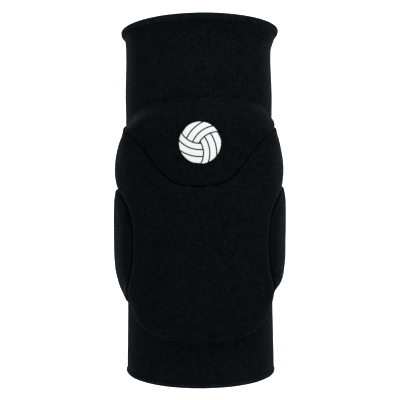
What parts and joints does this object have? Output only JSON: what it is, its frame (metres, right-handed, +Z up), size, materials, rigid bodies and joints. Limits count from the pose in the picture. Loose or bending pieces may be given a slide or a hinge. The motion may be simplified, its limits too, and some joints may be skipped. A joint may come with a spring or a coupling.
{
  "type": "volleyball knee pad",
  "caption": "Knitted tubular knee sleeve in its worn form, with raised foam pads over the kneecap, shin and both sides and a rolled hem at each end.",
  "frame": {"origin": "on the axis of the leg that the sleeve is worn on, halfway up the sleeve", "axes": "+Z up the leg towards the thigh, -Y out of the front of the knee, +X to the right seen from the front"},
  "size_m": [0.1263, 0.1305, 0.2497],
  "materials": {
    "knit": "matte black knitted nylon and elastane with faint courses",
    "hem": "the same black knit, doubled and rolled at the rims",
    "print": "white heat-transfer print, matte"
  },
  "bodies": {
    "root": {"sleeve": "knit", "top_hem": "hem", "bottom_hem": "hem", "upper_pad": "knit", "main_pad": "knit", "left_side_pad": "knit", "right_side_pad": "knit", "print_disc": "print"}
  },
  "joints": []
}
